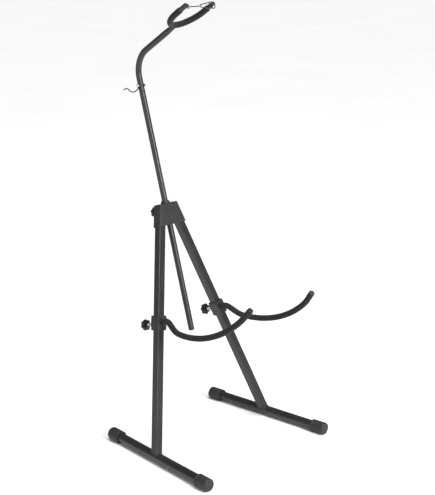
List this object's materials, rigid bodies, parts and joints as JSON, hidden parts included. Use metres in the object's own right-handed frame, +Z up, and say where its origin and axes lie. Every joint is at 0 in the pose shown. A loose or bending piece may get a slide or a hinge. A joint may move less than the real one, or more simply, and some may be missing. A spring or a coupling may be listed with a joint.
{
  "type": "folding cello stand",
  "caption": "Folding cello stand: leaning mast with a foam-covered neck yoke and wire latch, sliding foam-covered arms on two splayed legs, and rubber-capped base tubes.",
  "frame": {"origin": "centre of the stand's bounding box in X and Y, on the floor under the four rubber caps", "axes": "+X to the right leg, seen by someone facing the stand; -Y to the front, where the arms point; +Z up"},
  "size_m": [0.574, 0.6718, 1.3673],
  "materials": {
    "black powder coat": "satin",
    "moulded black plastic": "matte",
    "black knob plastic": "satin",
    "black rubber": "matte",
    "black foam": "matte",
    "zinc-plated steel": "satin",
    "bent steel wire": "satin",
    "brass": "satin"
  },
  "bodies": {
    "housing": {"housing_front_cover": "moulded black plastic", "housing_rear_shell": "moulded black plastic", "housing_screws": "zinc-plated steel", "pivot_inserts": "brass", "left_pivot_bolt": "zinc-plated steel", "right_pivot_bolt": "zinc-plated steel", "mast_lock_nut": "zinc-plated steel"},
    "mast_lock": {"mast_lock_screw": "zinc-plated steel", "mast_lock_knob": "black knob plastic"},
    "bushing": {"mast_bushing": "moulded black plastic"},
    "mast": {"mast_tube": "black powder coat", "mast_end_plug": "moulded black plastic", "yoke_rod": "black powder coat", "yoke_left_foam": "black foam", "yoke_right_foam": "black foam", "latch_stub": "moulded black plastic", "catch_stub": "moulded black plastic", "latch_screw": "zinc-plated steel", "bow_hook_screw": "zinc-plated steel", "bow_hook_washer": "zinc-plated steel", "bow_hook_nut": "moulded black plastic"},
    "latch": {"latch_wire": "bent steel wire"},
    "bow_hook": {"bow_hook_wire": "black powder coat"},
    "left_leg": {"left_leg_tube": "black powder coat", "left_pivot_sleeve": "zinc-plated steel", "left_base_tube": "black powder coat", "left_front_cap": "black rubber", "left_rear_cap": "black rubber"},
    "left_clamp": {"left_clamp_sleeve": "moulded black plastic", "left_clamp_nut": "zinc-plated steel", "left_clamp_pad": "moulded black plastic", "left_arm_rod": "black powder coat", "left_arm_foam": "black foam", "left_arm_plug": "moulded black plastic"},
    "left_lock": {"left_clamp_screw": "zinc-plated steel", "left_clamp_knob": "black knob plastic"},
    "right_leg": {"right_leg_tube": "black powder coat", "right_pivot_sleeve": "zinc-plated steel", "right_base_tube": "black powder coat", "right_front_cap": "black rubber", "right_rear_cap": "black rubber"},
    "right_clamp": {"right_clamp_sleeve": "moulded black plastic", "right_clamp_nut": "zinc-plated steel", "right_clamp_pad": "moulded black plastic", "right_arm_rod": "black powder coat", "right_arm_foam": "black foam", "right_arm_plug": "moulded black plastic"},
    "right_lock": {"right_clamp_screw": "zinc-plated steel", "right_clamp_knob": "black knob plastic"}
  },
  "joints": [
    {"name": "left_leg_fold", "type": "hinge", "parent": "housing", "child": "left_leg", "pos_m": [-0.0302, 0.15387, 0.70756], "axis": [0, -0.9603, 0.279], "range_deg": [0, 16.8]},
    {"name": "right_leg_fold", "type": "hinge", "parent": "housing", "child": "right_leg", "pos_m": [0.0302, 0.15387, 0.70756], "axis": [0, 0.9603, -0.279], "range_deg": [0, 16.8]},
    {"name": "mast_swivel", "type": "hinge", "parent": "housing", "child": "bushing", "pos_m": [0, 0.15387, 0.70756], "axis": [0, 0.279, 0.9603], "continuous": true},
    {"name": "mast_slide", "type": "slide", "parent": "bushing", "child": "mast", "axis": [0, 0.279, 0.9603], "range_m": [-0.29, 0.3]},
    {"name": "mast_lock_turn", "type": "hinge", "parent": "housing", "child": "mast_lock", "pos_m": [0, 0.19437, 0.7036], "axis": [0, 0.9603, -0.279], "continuous": true},
    {"name": "left_clamp_slide", "type": "slide", "parent": "left_leg", "child": "left_clamp", "axis": [0.289, 0.2671, 0.9193], "range_m": [-0.28, 0.25]},
    {"name": "right_clamp_slide", "type": "slide", "parent": "right_leg", "child": "right_clamp", "axis": [-0.289, 0.2671, 0.9193], "range_m": [-0.28, 0.25]},
    {"name": "left_lock_turn", "type": "hinge", "parent": "left_clamp", "child": "left_lock", "pos_m": [-0.12963, 0.10041, 0.38016], "axis": [0, 0.9603, -0.279], "continuous": true},
    {"name": "right_lock_turn", "type": "hinge", "parent": "right_clamp", "child": "right_lock", "pos_m": [0.13309, 0.0972, 0.36913], "axis": [0, 0.9603, -0.279], "continuous": true},
    {"name": "latch_swing", "type": "hinge", "parent": "mast", "child": "latch", "pos_m": [-0.04386, 0.01176, 1.35555], "axis": [0, -0.5373, -0.8434], "range_deg": [0, 100]},
    {"name": "bow_hook_swivel", "type": "hinge", "parent": "mast", "child": "bow_hook", "pos_m": [-0.01255, 0.26769, 1.09933], "axis": [1, 0, 0], "range_deg": [-90, 90]}
  ]
}
